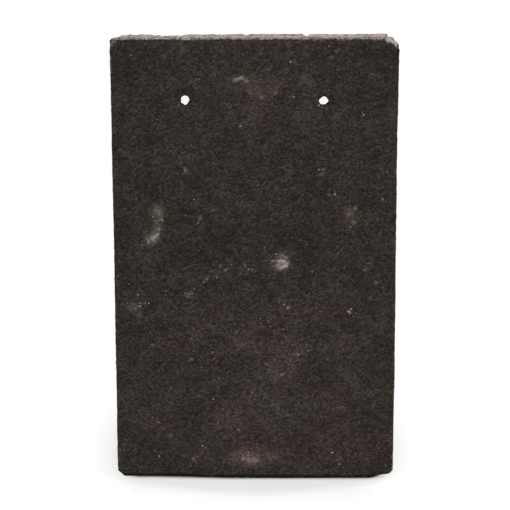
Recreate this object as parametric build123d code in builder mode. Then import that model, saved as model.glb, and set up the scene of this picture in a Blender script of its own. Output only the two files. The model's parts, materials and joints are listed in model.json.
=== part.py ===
from build123d import *
from math import asin, atan2, cos, degrees, hypot, radians, sqrt, tan
import os

# A concrete plain roof tile, cast in one piece and lying face up on a level floor.
#
# The slab is cambered along its length, so its underside and its weather face are two arcs
# about one line far below the tile. The head (+Y) and the tail (-Y) are cut square to the
# chord. Two nibs stand out of the underside near the head and hook over a roofing batten,
# and two punched nail holes lie half a batten's width below them.
# All lengths are in millimetres, and all angles in degrees.

# Slab
tile_length = 267.0
tile_width = 165.0
tile_thickness = 14.3
camber_rise = 3.0  # of the underside above its own chord, at mid length
weather_arris_radius = 1.5  # worn round along the sides and the tail
tail_corner_radius = 4.8

# Breaks of the head's two corners: across and along the weather face, and across the underside
right_break = (8.3, 6.2, 5.4)
left_break = (0.9, 1.1, 4.9)

# Chip out of the head's lower edge, in the shape of a shallow scoop
chip_middle = -50.0  # across the tile
chip_width = 17.0
chip_height = 5.2
chip_depth = 1.7

# Nibs, with their sizes where the bearing face meets the underside
nib_spacing = 92.0  # between the two centres
nib_width = 26.0  # across the tile
nib_length = 13.0  # along the tile
nib_depth = 10.5
nib_from_head = 17.5  # from the head's cut face to the bearing face
nib_bearing_draft = 3.0
nib_back_draft = 20.0
nib_side_draft = 8.0
nib_tip_radius = 2.0
nib_root_radius = 1.5
nib_sink = 1.0  # how far its block runs up into the slab

# Nail holes
nail_hole_spacing = 80.0
nail_hole_radius = 3.0
batten_width = 38.0  # the nails are driven along the middle of the batten
rim_radius = 1.6  # the punch draws the weather face in and rounds it over
breakout_radius = 6.5  # where the punch broke out through the underside
breakout_depth = 9.0
cut_overrun = 1.0

# The two arcs share a centre line this far below the underside's chord
underside_radius = (tile_length**2 / 4 + camber_rise**2) / (2 * camber_rise)
weather_radius = underside_radius + tile_thickness
arc_centre_depth = underside_radius - camber_rise


def underside_height(along):
    """Height of the underside above its chord, at a place along the tile from its middle."""
    return sqrt(underside_radius**2 - along**2) - arc_centre_depth


def weather_height(along):
    """Height of the weather face above the same chord, at a place along the tile."""
    return sqrt(weather_radius**2 - along**2) - arc_centre_depth


def corner_break(side, across_face, along_face, across_underside):
    """Plane that takes off the head's corner on one side, through three places on its edges."""
    face_across = Vector(side * (tile_width / 2 - across_face), head, tile_thickness)
    face_along = Vector(side * tile_width / 2, head - along_face, tile_thickness)
    underside_across = Vector(side * (tile_width / 2 - across_underside), head, 0)
    outward = (face_along - face_across).cross(underside_across - face_across) * side
    return Plane(origin=face_across, z_dir=outward)


# Places along the tile, from the middle of its length
head = tile_length / 2
tail = -tile_length / 2
nib_bearing = head - nib_from_head
nail_line = nib_bearing - batten_width / 2

# Ball that scoops out the chip: its middle lies beyond the head and below the underside
ball_below = ((chip_width / 2) ** 2 - chip_height**2) / (2 * chip_height)
ball_beyond = ((chip_width / 2) ** 2 - chip_depth**2) / (2 * chip_depth)
ball_radius = hypot(chip_width / 2, ball_below, ball_beyond)

# Nib block, from its buried top to its tip
bearing_slope = tan(radians(nib_bearing_draft))
back_slope = tan(radians(nib_back_draft))
side_slope = tan(radians(nib_side_draft))
nib_root_level = underside_height(nib_bearing)
nib_tip_level = nib_root_level - nib_depth
block_height = nib_sink + nib_depth
block_width = nib_width + 2 * nib_sink * side_slope
block_length = nib_length + nib_sink * (bearing_slope + back_slope)

# The tile with its chord level
with BuildPart() as level_tile:
    # Slab, from its side view
    with BuildSketch(Plane.YZ) as side_view:
        with BuildLine():
            ThreePointArc((tail, 0), (0, camber_rise), (head, 0))
            Line((head, 0), (head, weather_height(head)))
            ThreePointArc(
                (head, weather_height(head)),
                (0, camber_rise + tile_thickness),
                (tail, weather_height(tail)),
            )
            Line((tail, weather_height(tail)), (tail, 0))
        make_face()
    extrude(amount=tile_width / 2, both=True)

    # Corners: rounded at the tail, broken off at the head
    fillet(level_tile.edges().filter_by(Axis.Z).group_by(Axis.Y)[0], radius=tail_corner_radius)
    split(bisect_by=corner_break(1, *right_break), keep=Keep.BOTTOM)
    split(bisect_by=corner_break(-1, *left_break), keep=Keep.BOTTOM)

    # Arris of the weather face, round the sides and the tail: the head and its two breaks are sharp
    curved_faces = level_tile.faces().filter_by(GeomType.CYLINDER).sort_by(SortBy.AREA)
    weather_face = curved_faces[-2:].sort_by(Axis.Z)[-1]
    fillet(weather_face.edges().sort_by(Axis.Y)[:-3], radius=weather_arris_radius)

    # Chip out of the head's lower edge
    with Locations((chip_middle, head + ball_beyond, -ball_below)):
        Sphere(radius=ball_radius, mode=Mode.SUBTRACT)

    # Nibs, drafted on all four sides
    with Locations((0, nib_bearing - nib_sink * bearing_slope, nib_root_level + nib_sink)):
        with GridLocations(nib_spacing, 0, 2, 1):
            Wedge(
                block_width,
                block_height,
                block_length,
                xmin=block_height * side_slope,
                xmax=block_width - block_height * side_slope,
                zmin=block_height * bearing_slope,
                zmax=block_length - block_height * back_slope,
                rotation=(-90, 0, 0),
                align=(Align.CENTER, Align.MIN, Align.MIN),
            )
    nib_edges = level_tile.edges().filter_by(lambda edge: edge.center().Z < -nib_root_radius)
    fillet(nib_edges, radius=nib_tip_radius)
    curved_faces = level_tile.faces().filter_by(GeomType.CYLINDER).sort_by(SortBy.AREA)
    underside_face = curved_faces[-2:].sort_by(Axis.Z)[0]
    fillet(underside_face.inner_wires().edges(), radius=nib_root_radius)

    # Nail holes: straight, rounded in at the weather face and broken out below
    with Locations((0, nail_line, 0)):
        with GridLocations(nail_hole_spacing, 0, 2, 1):
            Hole(radius=nail_hole_radius)
    curved_faces = level_tile.faces().filter_by(GeomType.CYLINDER).sort_by(SortBy.AREA)
    weather_face = curved_faces[-2:].sort_by(Axis.Z)[-1]
    fillet(weather_face.inner_wires().edges(), radius=rim_radius)
    breakout_slope = (breakout_radius - nail_hole_radius) / breakout_depth
    with Locations((0, nail_line, underside_height(nail_line) - cut_overrun)):
        with GridLocations(nail_hole_spacing, 0, 2, 1):
            Cone(
                bottom_radius=breakout_radius + cut_overrun * breakout_slope,
                top_radius=nail_hole_radius,
                height=breakout_depth + cut_overrun,
                align=(Align.CENTER, Align.CENTER, Align.MIN),
                mode=Mode.SUBTRACT,
            )

# The tile rests on its tail's lower arris and on the rounded tips of its nibs
tip_centre_level = nib_tip_level + nib_tip_radius
tip_wall = nib_bearing + (nib_root_level - tip_centre_level) * bearing_slope
tip_run = tip_wall + nib_tip_radius / cos(radians(nib_bearing_draft)) - tail
tip_distance = hypot(tip_run, tip_centre_level)
rest_tilt = degrees(atan2(-tip_centre_level, tip_run) + asin(nib_tip_radius / tip_distance))
laid = level_tile.part.rotate(Axis.X, rest_tilt)
footprint = laid.bounding_box()

with BuildPart() as roof_tile:
    with Locations((0, -footprint.center().Y, -footprint.min.Z)):
        add(laid)

os.makedirs("parts", exist_ok=True)
roof_tile.part.label = "roof_tile"
export_step(roof_tile.part, "parts/roof_tile.step")
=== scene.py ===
import json
import math

import bpy
import numpy as np
from mathutils import Matrix, Vector


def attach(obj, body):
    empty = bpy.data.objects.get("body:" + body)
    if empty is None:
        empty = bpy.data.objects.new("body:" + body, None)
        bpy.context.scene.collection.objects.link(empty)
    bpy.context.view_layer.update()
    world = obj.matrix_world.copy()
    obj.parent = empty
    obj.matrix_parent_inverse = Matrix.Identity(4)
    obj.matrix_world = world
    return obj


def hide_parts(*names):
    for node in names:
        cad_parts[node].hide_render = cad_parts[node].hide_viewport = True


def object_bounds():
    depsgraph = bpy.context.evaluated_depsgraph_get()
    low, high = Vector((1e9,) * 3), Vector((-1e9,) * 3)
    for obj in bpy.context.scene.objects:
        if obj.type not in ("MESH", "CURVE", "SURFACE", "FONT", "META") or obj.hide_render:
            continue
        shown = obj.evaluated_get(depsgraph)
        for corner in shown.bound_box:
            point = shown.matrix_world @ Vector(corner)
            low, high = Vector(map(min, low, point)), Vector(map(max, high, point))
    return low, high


# A concrete plain roof tile, lying face up: its dark sanded weather face, the pale concrete of its
# cut head and broken corners, its punched nail holes, and the two nibs under its head.
#
# All lengths are in metres. Places on the tile are given in the tile's own frame: across its width,
# along it from mid length towards the head, and up from the chord of its cambered underside.

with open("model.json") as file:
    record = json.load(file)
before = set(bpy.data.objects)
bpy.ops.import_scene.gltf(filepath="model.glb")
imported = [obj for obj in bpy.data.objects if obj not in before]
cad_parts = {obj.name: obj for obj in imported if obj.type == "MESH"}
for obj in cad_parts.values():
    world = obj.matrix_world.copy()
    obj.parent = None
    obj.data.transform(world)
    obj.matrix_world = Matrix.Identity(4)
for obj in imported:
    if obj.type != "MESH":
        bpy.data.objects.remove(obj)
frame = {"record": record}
cad_low, cad_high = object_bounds()
MM = 0.001

# The tile, as it is made
TILE_LENGTH = 267.0 * MM
TILE_WIDTH = cad_high.x - cad_low.x
THICKNESS = 14.3 * MM
CAMBER = 3.0 * MM
ARRIS_RADIUS = 1.5 * MM  # of the weather face, along the sides and the tail
CUT_ARRIS_RADIUS = 0.45 * MM  # of the weather face, along the cut head
NIB_WIDTH = 26.0 * MM
NIB_LENGTH = 13.0 * MM
NIB_DEPTH = 10.5 * MM
NIB_BEARING = TILE_LENGTH / 2 - 17.5 * MM  # its place along the tile, at the underside
NIB_TIP_RADIUS = 2.0 * MM
NIB_ROOT_RADIUS = 1.5 * MM
NIB_BEARING_SLOPE = math.tan(math.radians(3))
NIB_BACK_SLOPE = math.tan(math.radians(20))
NIB_SIDE_SLOPE = math.tan(math.radians(8))
NIB_COAT, NIB_ROUGHNESS, NIB_CAP_ROUGHNESS = 0.05, 0.25, 0.2
UNDER_ROUGHNESS = 0.12

# The photograph's view of the tile's face
VIEW_ANGLE = math.radians(16.9)  # of the line of sight from square on to the face
VIEW_ROLL = math.radians(0.1)
CAMERA_DISTANCE = 1448 * MM
IMAGE_SIDE = 510
FOCAL_PIXELS = 2502
TILE_CENTRE_PIXEL = (254.9, 264.8)
PIXEL = CAMERA_DISTANCE / FOCAL_PIXELS  # what one pixel spans on the tile

# How fine the surfaces are
GRID_STEP = 0.86 * MM
HOLE_REACH = 8.4 * MM  # from a nail hole's middle to the edge of its window, at the least
NIB_MARGIN = 2.2 * MM  # from a nib's root to the edge of its window in the underside
SPAN_REACH = 14 * MM  # how far from the outline a face's grid still follows its shape
UNDER_STEP = 1.2 * MM  # from the broken lower edge to the underside's own grid

# The tile's own frame
mounts = frame["record"]["mounts"]
nail_holes = [mount for mount in mounts if mount["kind"] == "bore"]
nib_faces = [mount for mount in mounts if mount["kind"] == "flat_face"]
ACROSS = np.array([1.0, 0.0, 0.0])
UP = np.array(nail_holes[0]["axis"])
ALONG = np.cross(UP, ACROSS)
ORIGIN = np.array([0.0, cad_high.y - TILE_LENGTH / 2 * ALONG[1], TILE_LENGTH / 2 * ALONG[2]])


def to_tile(place):
    """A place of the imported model, as across, along and height on the tile."""
    return np.stack([ACROSS, ALONG, UP]) @ (np.array(place) - ORIGIN)


def from_tile(places):
    """Places on the tile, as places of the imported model: the origin plus its share of each direction."""
    return ORIGIN + places @ np.stack([ACROSS, ALONG, UP])


def crown(along):
    """Rise of both faces above their chords: a parabola that is full at mid length and nil at the ends."""
    return CAMBER * (1 - (2 * along / TILE_LENGTH) ** 2)


def on_face(column, row):
    """Across and along, on the weather face, of the place that the photograph shows at a column and row.

    The line of sight is followed to a guess of the place's depth and height, and the guess is mended
    from the place that it gives, which settles in a few rounds.
    """
    shift = (np.array(TILE_CENTRE_PIXEL) - IMAGE_SIDE / 2) * CAMERA_DISTANCE
    depth, height = CAMERA_DISTANCE, 0
    for _ in range(5):
        right = ((column - IMAGE_SIDE / 2) * depth - shift[0]) / FOCAL_PIXELS
        up = (shift[1] - (row - IMAGE_SIDE / 2) * depth) / FOCAL_PIXELS
        across = right * math.cos(VIEW_ROLL) + up * math.sin(VIEW_ROLL)
        upward = up * math.cos(VIEW_ROLL) - right * math.sin(VIEW_ROLL)
        along = (upward + height * math.sin(VIEW_ANGLE)) / math.cos(VIEW_ANGLE)
        height = crown(along)
        depth = CAMERA_DISTANCE - along * math.sin(VIEW_ANGLE) - height * math.cos(VIEW_ANGLE)
    return across, along


# Random fields

CELL_FACTORS = (73856093, 19349663, 83492791)  # large primes that mix a cell's three whole numbers
SEED_FACTOR = 6542989
FOLDS = ((15, 2246822519), (13, 3266489917))  # each fold's shift and factor
LOW_32_BITS = 0xFFFFFFFF
LOW_24_BITS = 0xFFFFFF


def lattice_values(cells, seed):
    """One value from 0 to 1 for each cell, by multiplying, shifting and folding its three whole numbers."""
    key = sum(cells[..., k] * factor for k, factor in enumerate(CELL_FACTORS)) + seed * SEED_FACTOR
    for shift, factor in FOLDS:
        key = (key ^ (key >> shift)) * factor & LOW_32_BITS
    return ((key ^ (key >> 16)) & LOW_24_BITS) / LOW_24_BITS


def noise(places, wavelength, seed):
    """Smooth field from -1 to 1: the values at a lattice cell's eight corners, blended by smoothstep."""
    cells = places / wavelength
    base = np.floor(cells)
    part = cells - base
    part = part * part * (3 - 2 * part)
    base = base.astype(np.int64)
    total = np.zeros(places.shape[:-1])
    for corner in np.ndindex(2, 2, 2):
        weight = np.prod(np.where(corner, part, 1 - part), axis=-1)
        total += weight * lattice_values(base + corner, seed)
    return total * 2 - 1


def cloud(places, wavelength, seed, layers=3):
    """Sum of noise fields, each of half the wavelength and half the height of the one before."""
    field = sum(noise(places, wavelength / 2**k, seed + k) / 2**k for k in range(layers))
    return field / sum(1 / 2**k for k in range(layers))


def smooth_step(value, start, end):
    """0 before start, 1 after end, and the cubic 3t^2 - 2t^3 between them."""
    t = np.clip((value - start) / (end - start), 0, 1)
    return t * t * (3 - 2 * t)


def fade(value, start, end):
    """1 before start, 0 after end, and the same cubic turned over between them."""
    return 1 - smooth_step(value, start, end)


def read_off(table, places, **beyond):
    """Sizes at some places, in straight lines between a table's rows of place and size in millimetres."""
    return np.interp(places / MM, *np.array(table).T, **beyond) * MM


# Grids, loops and bands


def loop_of(grid):
    """The edge of a grid, counter-clockwise from its near left corner."""
    return np.concatenate([grid[0, :-1], grid[:-1, -1], grid[-1, :0:-1], grid[:0:-1, 0]])


def cornered(cells_across, cells_along, left, right, near, far, sizes, powers):
    """Edge places of a grid on a rectangle with worked corners, counter-clockwise from the near left.

    Within a corner's two sizes c, across and along, both edges are drawn on to the curve
    |x/c|^n + |y/c|^n = 1 about the point that lies c inside the corner, at equal steps of its angle:
    n of 2 is round, 1 is straight. The sizes may differ from place to place.
    """
    u, v = np.meshgrid(np.linspace(left, right, cells_across + 1), np.linspace(near, far, cells_along + 1))
    base = loop_of(np.stack([u, v], axis=-1))
    loop = base.copy()
    corners = ((left, near), (right, near), (right, far), (left, far))
    for corner, inward, size, power in zip(corners, ((1, 1), (-1, 1), (-1, -1), (1, -1)), sizes, powers):
        size = np.broadcast_to(size, base.shape)
        reach = np.abs(base - corner) / size
        beside = reach.max(axis=1)
        turn = np.where(reach[:, 0] > reach[:, 1], 1, -1) * np.clip(beside, 0, 1)
        angle = math.pi / 4 * (1 + turn)
        shares = np.stack([np.cos(angle), np.sin(angle)], axis=-1).clip(0, 1) ** (2 / power)
        curve = np.array(corner) + size * np.array(inward) * (1 - shares)
        loop = np.where(((beside < 1) & (reach.min(axis=1) < 1e-6))[:, None], curve, loop)
    return loop


def outward(loop):
    """Unit normals of a counter-clockwise loop: the chord between the two neighbours, turned to the right."""
    chord = np.roll(loop, -1, axis=0) - np.roll(loop, 1, axis=0)
    normal = np.stack([chord[:, 1], -chord[:, 0]], axis=-1)
    return normal / np.linalg.norm(normal, axis=1, keepdims=True)


def spanned(loop, cells_across, cells_along, reach):
    """Grid inside a loop: an even one on its box, and each edge's shift away from the box, which dies out
    over the reach as a smoothstep. Where two edges reach, their corner's shift is taken off once."""
    low, high = loop.min(axis=0), loop.max(axis=0)
    x, y = np.linspace(low[0], high[0], cells_across + 1), np.linspace(low[1], high[1], cells_along + 1)
    even = np.stack(np.meshgrid(x, y), axis=-1)
    shift = np.concatenate([loop, loop[:1]]) - np.concatenate([loop_of(even), even[:1, 0]])
    near, rest = shift[: cells_across + 1], shift[cells_across:]
    right, rest = rest[: cells_along + 1], rest[cells_along:]
    far, left = rest[: cells_across + 1][::-1], rest[cells_across:][::-1]
    by_left, by_right = (fade(gap, 0, reach)[None, :, None] for gap in (x - low[0], high[0] - x))
    by_near, by_far = (fade(gap, 0, reach)[:, None, None] for gap in (y - low[1], high[1] - y))
    grid = even + by_near * near + by_far * far + by_left * left[:, None] + by_right * right[:, None]
    grid -= by_near * (by_left * near[0] + by_right * near[-1])
    return grid - by_far * (by_left * far[0] + by_right * far[-1])


class Skin:
    """The places, marks and triangles of one closed surface, gathered as whole arrays.

    coat is 1 where the dark sanded coat lies and 0 on bare concrete, and rough is 1 where the
    concrete was cut or broken and 0 where a mould made it.
    """

    def __init__(self):
        self.places, self.coats, self.roughs, self.faces = [], [], [], []
        self.count = 0

    def add(self, plan, height, coat, rough):
        """Adds places from their plan and height, and returns their numbers in the same layout."""
        shape = plan.shape[:-1]
        height, coat, rough = (np.broadcast_to(values, shape) for values in (height, coat, rough))
        self.places.append(np.concatenate([plan, height[..., None]], axis=-1).reshape(-1, 3))
        self.coats.append(coat.ravel())
        self.roughs.append(rough.ravel())
        numbers = self.count + np.arange(height.size).reshape(shape)
        self.count += height.size
        return numbers

    def sheet(self, numbers, windows=(), facing_up=True):
        """Fills a grid with triangles whose diagonals alternate, leaving out the cells of the windows."""
        a, b, c, d = numbers[:-1, :-1], numbers[:-1, 1:], numbers[1:, 1:], numbers[1:, :-1]
        kept = np.ones(a.shape, bool)
        for near, left, cells_along, cells_across in windows:
            kept[near : near + cells_along, left : left + cells_across] = False
        even = np.indices(a.shape).sum(axis=0) % 2 == 0
        pairs = ((even, ((a, b, c), (a, c, d))), (~even, ((a, b, d), (b, c, d))))
        for here, triangles in pairs:
            for triangle in triangles:
                face = np.stack([corner[kept & here] for corner in triangle], axis=-1)
                self.faces.append(face if facing_up else face[:, ::-1])

    def band(self, upper, lower):
        """Joins two loops, counter-clockwise from above, of equal length or with one half the other's."""
        if len(upper) == len(lower):
            u, v = np.roll(upper, -1), np.roll(lower, -1)
            self.faces += [np.stack([upper, lower, v], axis=-1), np.stack([upper, v, u], axis=-1)]
            return
        fine, coarse, way = (upper, lower, 1) if len(upper) > len(lower) else (lower, upper, -1)
        first, middle, last = fine[::2], fine[1::2], np.roll(fine[::2], -1)
        after = np.roll(coarse, -1)
        for triangle in ((first, coarse, middle), (middle, coarse, after), (middle, after, last)):
            self.faces.append(np.stack(triangle, axis=-1)[:, ::way])

    def finished(self):
        """Places, coats, roughs and triangles, without the places that no triangle uses."""
        faces = np.concatenate(self.faces)
        used, faces = np.unique(faces, return_inverse=True)
        faces = faces.reshape(-1, 3)
        gathered = (np.concatenate(values)[used] for values in (self.places, self.coats, self.roughs))
        return (*gathered, faces)


def normals_of(places, faces):
    """Unit normal at each place: the sum of its triangles' cross products."""
    a, b, c = (places[faces[:, k]] for k in range(3))
    crossed = np.cross(b - a, c - a)
    parts = [sum(np.bincount(faces[:, k], part, len(places)) for k in range(3)) for part in crossed.T]
    total = np.stack(parts, axis=-1)
    return total / np.maximum(np.linalg.norm(total, axis=1, keepdims=True), 1e-12)


# The tile's skin


def even_cells(length):
    """The even number of cells of about GRID_STEP in a length."""
    return 2 * round(length / GRID_STEP / 2)


CELLS_ACROSS = even_cells(TILE_WIDTH)
CELLS_ALONG = even_cells(TILE_LENGTH)
HALF_WIDTH, HALF_LENGTH = TILE_WIDTH / 2, TILE_LENGTH / 2

# Broken lower edge of the cut head, as the photograph shows it: across the tile from left to right,
# and how far the break rises up the cut, in millimetres
HEAD_EDGE = [
    (-81, 3), (-80, 8.5), (-79.1, 13), (-78.1, 12), (-77, 9.4), (-75.8, 5.2), (-74.6, 3), (-72, 2.4),
    (-70, 1), (-68.2, 3), (-66.5, 2.6), (-65, 0.6), (-60, 1.5), (-58.2, 2.3), (-56.5, 4.6), (-54.8, 3.6),
    (-53, 5), (-49.6, 7), (-47.8, 6.6), (-46.2, 4.6), (-41, 4.6), (-39.4, 2.3), (-37.6, 1), (-32, 1),
    (-29, 2.6), (-25.4, 2.2), (-24, 1), (-22.2, 2.6), (-18.8, 2.8), (-17, 1.4), (-6.4, 0.6), (-5.1, 4.2),
    (-3.3, 2.3), (-1.5, 0.8), (28, 0.7), (29, 7.5), (30.2, 3.4), (31.4, 1), (41, 0.7), (42.8, 2.2),
    (44.5, 0.8), (54.7, 2), (60, 0.7), (65, 1.6), (72, 0.7),
]
HEAD_EDGE_LEAN = 0.36  # how far the break goes in for each millimetre that it rises

# How much of the coat was smeared down over the cut head: the depth below the weather face in
# millimetres, and the share
HEAD_COAT = [(0, 0.75), (0.45, 0.69), (1.2, 0.6), (2.4, 0.47), (3.6, 0.34), (4.8, 0.22), (6.5, 0.05)]

# Steps in the broken right corner: across the tile, and how far each place lies inside a straight break
RIGHT_BREAK_STEPS = [
    (73.2, 0), (74.4, 1.1), (75.6, 1.15), (76.6, 0.35), (77.4, 0.05), (78.4, -0.3), (79.4, 0.05),
    (80.4, 0.25), (81.4, 0.27), (82.5, 0.1),
]

# How far the two sides and the tail lie inside a straight line: the place along the tile or across it,
# and the distance
LEFT_SIDE_WAIST = [(-122, 0.45), (-109, 0.4), (-84, 0.36), (-22, 0.64), (39, 0.54), (87, 0.34), (122, 0.2)]
RIGHT_SIDE_WAIST = [(-122, 0.28), (-109, 0.16), (-84, 0.2), (-22, 0.3), (39, 0.68), (87, 0.48), (122, 0.15)]
TAIL_WEAR = [
    (-82, 1.7), (-68, 1.5), (-53.5, 1.4), (-39, 1.05), (-29, 0.6), (-20, 0.35), (-8, 0.12), (20, 0.08),
    (66, 0.08), (70, 0.4), (72, 1), (74.5, 2.1), (77, 2.3), (82, 2.4),
]
TAIL_WEAR_REACH = 16 * MM  # how far from the tail's edge its wear still draws the outline in

# Corners of the outline, counter-clockwise from the tail's left one: the size across and along at the
# weather face, what it gains down to the underside, both in millimetres, and the power of its curve
CORNERS = [
    ((4.5, 4.0), (0, 0), 1.15),
    ((4.4, 4.4), (0, 0), 2),
    ((9.3, 7.0), (-2.8, -1.5), 1.1),
    ((1.0, 1.2), (4.2, 4.8), 1.1),
]
BREAK_LEAN = 2.6 * MM  # how far the right break's steps shift across down to the underside

# What makes the outline uneven: a height, a field, its wavelength and its seed
UNEVEN_EDGE = [
    (0.19 * MM, cloud, 17 * MM, 11),
    (0.12 * MM, noise, 2.6 * MM, 17),
    (0.07 * MM, noise, 1.3 * MM, 19),
]
EVEN_AT_ENDS = 0.6  # share of it that the head and the tail lack

# The edge's profile, in three stages: the arris, the wall, and the break at the underside
ARRIS_ANGLES = (22.5, 45, 67.5, 90)
WALL_RINGS = 8
BREAK_SHARES = (0, 0.33, 0.66, 1)
BREAK_CURVE = 1.3
SIDE_COAT = ((0, 1, 2, 3), (1.0, 0.92, 0.6, 0.1))  # the coat left on the sides, by stage
SIDE_WEAR = ((1, 1.3), (1, 0.15))  # how fully an arris's wear counts, by stage
SIDE_ROUGHNESS = 0.25
PLAIN_BREAK = 0.65 * MM  # the chipped lower edge of the sides and the tail

# Stretches of the two long arrises where the coat wore thin: side, from, to and how much
WORN_ARRISES = [
    (-1, 113, 135, 0.45), (-1, 49, 61, 0.2), (-1, -129, -76, 0.3), (-1, 92, 100, 0.12),
    (-1, -40, -25, 0.12), (1, 40, 62, 0.3), (1, -30, -19, 0.25), (1, -97, -78, 0.25), (1, -107, -99, 0.3),
    (1, -131, -116, 0.45), (1, 112, 126, 0.2), (1, 0, 12, 0.15),
]


def head_share(loop):
    """1 along the cut head and round its broken corners, and 0 along the sides and the tail."""
    return smooth_step(loop[:, 1], HALF_LENGTH - 7 * MM, HALF_LENGTH - 5.2 * MM)


def arris_radius(loop):
    """Radius of the weather face's arris at each place: it shrinks towards the sharp arris of the head."""
    near_head = smooth_step(loop[:, 1], HALF_LENGTH - 14 * MM, HALF_LENGTH - 7 * MM)
    return ARRIS_RADIUS + (CUT_ARRIS_RADIUS - ARRIS_RADIUS) * near_head


def tile_outline(depth):
    """The tile's outline at a depth under its weather face, and its unit normals.

    The tail's left corner is worn nearly straight and its right one is round, and the edge between them
    is worn back. The head's right corner is broken off in steps, and its left one slants from a small
    break at the weather face to a large one at the underside. The sides have a waist, and noise makes
    the whole uneven. The depth may differ from place to place.
    """
    share = np.broadcast_to(depth / THICKNESS, 2 * (CELLS_ACROSS + CELLS_ALONG))
    sizes = [MM * (np.array(size) + np.array(gain) * share[:, None]) for size, gain, _ in CORNERS]
    box = (-HALF_WIDTH, HALF_WIDTH, -HALF_LENGTH, HALF_LENGTH)
    loop = cornered(CELLS_ACROSS, CELLS_ALONG, *box, sizes, [power for *_, power in CORNERS])
    loop[:, 1] += read_off(TAIL_WEAR, loop[:, 0]) * fade(loop[:, 1] + HALF_LENGTH, 0, TAIL_WEAR_REACH)
    normal = outward(loop)
    edge = np.concatenate([loop, share[:, None] * THICKNESS * 0.6], axis=-1)
    uneven = sum(height * (1 + field(edge, *scale)) for height, field, *scale in UNEVEN_EDGE)
    uneven *= 1 - EVEN_AT_ENDS * smooth_step(np.abs(loop[:, 1]), HALF_LENGTH - 3 * MM, HALF_LENGTH - 1 * MM)
    reach = (RIGHT_BREAK_STEPS[-1][0] - RIGHT_BREAK_STEPS[0][0]) * MM
    lean = BREAK_LEAN * share * (HALF_WIDTH - loop[:, 0]) / reach
    steps = read_off(RIGHT_BREAK_STEPS, loop[:, 0] - lean)
    steps = steps * smooth_step(loop[:, 1], HALF_LENGTH - 8 * MM, HALF_LENGTH - 6.5 * MM)
    left, right = (read_off(waist, loop[:, 1]) for waist in (LEFT_SIDE_WAIST, RIGHT_SIDE_WAIST))
    waist = np.where(loop[:, 0] < 0, left, right) * np.abs(normal[:, 0])
    return loop - (uneven + waist + steps)[:, None] * normal, normal


def arris_wear(loop):
    """How much the coat wore off the long arrises at each place: each named stretch, faded at its ends."""
    wear = np.zeros(len(loop))
    for side, start, end, strength in WORN_ARRISES:
        faded = smooth_step(loop[:, 1], (start - 3) * MM, (start + 3) * MM)
        faded = faded * fade(loop[:, 1], (end - 3) * MM, (end + 3) * MM)
        wear = np.maximum(wear, strength * faded * (side * loop[:, 0] > HALF_WIDTH - 6 * MM))
    return wear


def tile_edge(skin, rim_numbers, rise, inset):
    """Carries the tile's edge profile round its outline, from the weather face to the underside.

    The profile is a quarter round, a wall and a break of a rise and an inset: inset r(1 - sin) and depth
    r(1 - cos) down to the wall, and then depth in proportion along the break and inset by the share's
    power BREAK_CURVE. It returns the last ring's numbers and the plan of the underside's own outline.
    """
    outline, _ = tile_outline(0)
    head = head_share(outline)
    wear = arris_wear(outline)
    radius = arris_radius(outline)
    rings = []
    for angle in np.radians(ARRIS_ANGLES):
        rings.append((radius * (1 - np.sin(angle)), radius * (1 - np.cos(angle)), angle / (math.pi / 2)))
    for share in np.arange(1, WALL_RINGS + 1) / (WALL_RINGS + 1):
        rings.append((0 * radius, radius + (THICKNESS - rise - radius) * share, 1 + share))
    for share in BREAK_SHARES:
        rings.append((inset * share**BREAK_CURVE, THICKNESS - rise * (1 - share), 2 + share))
    last = rim_numbers
    for ring_inset, depth, stage in rings:
        plan, normal = tile_outline(depth)
        plan = plan - ring_inset[:, None] * normal
        height = THICKNESS + crown(plan[:, 1]) - depth
        side_coat = np.interp(stage, *SIDE_COAT) - wear * np.interp(stage, *SIDE_WEAR)
        head_coat = np.interp(depth / MM, *np.array(HEAD_COAT).T)
        coat = side_coat + (head_coat - side_coat) * head
        numbers = skin.add(plan, height, coat, SIDE_ROUGHNESS + (1 - SIDE_ROUGHNESS) * head)
        skin.band(last, numbers)
        last = numbers
    plan, normal = tile_outline(THICKNESS)
    return last, plan - (inset + UNDER_STEP)[:, None] * normal


def lower_edge_break():
    """Rise and inset of the broken lower edge at each place of the outline: a plain chipped edge all
    round, and at the head the one that the photograph shows, both made ragged by noise."""
    outline, _ = tile_outline(THICKNESS)
    edge = np.concatenate([outline, np.zeros((len(outline), 1))], axis=-1)
    plain = PLAIN_BREAK * (1 + 0.5 * cloud(edge, 5 * MM, 23))
    shown = read_off(HEAD_EDGE, outline[:, 0], left=0.4, right=0.5)
    ragged = 0.45 * noise(edge, 2.4 * MM, 29) + 0.35 * noise(edge, 1.2 * MM, 31)
    ragged = 1 + ragged * np.clip(4 * MM / np.maximum(shown, 1e-6), 0.15, 1)
    head = head_share(outline)
    rise = plain + (np.maximum(shown - 0.4 * MM, 0.3 * MM) * ragged - plain) * head
    inset = plain + (0.25 * MM + HEAD_EDGE_LEAN * rise - plain) * head
    return np.clip(rise, 0.2 * MM, THICKNESS - 1.0 * MM), inset


# Throats of the two nail holes, where they are narrowest: the middle across and along the tile, and
# radii in millimetres at bearings in degrees, counter-clockwise from the right
THROATS = [
    ((-39.5, 97.6), ((9, 2.0), (22, 1.9), (55, 2.05), (90, 2.2), (121, 2.05), (159, 2.0), (190, 1.55),
                      (213, 2.4), (253, 2.1), (274, 2.6), (324, 1.75))),
    ((39.2, 97.1), ((-6, 2.3), (20, 2.0), (48, 1.95), (94, 2.0), (121, 1.55), (150, 1.85), (183, 2.2),
                    (225, 2.25), (260, 2.05), (285, 1.8), (316, 1.85))),
]

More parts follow.
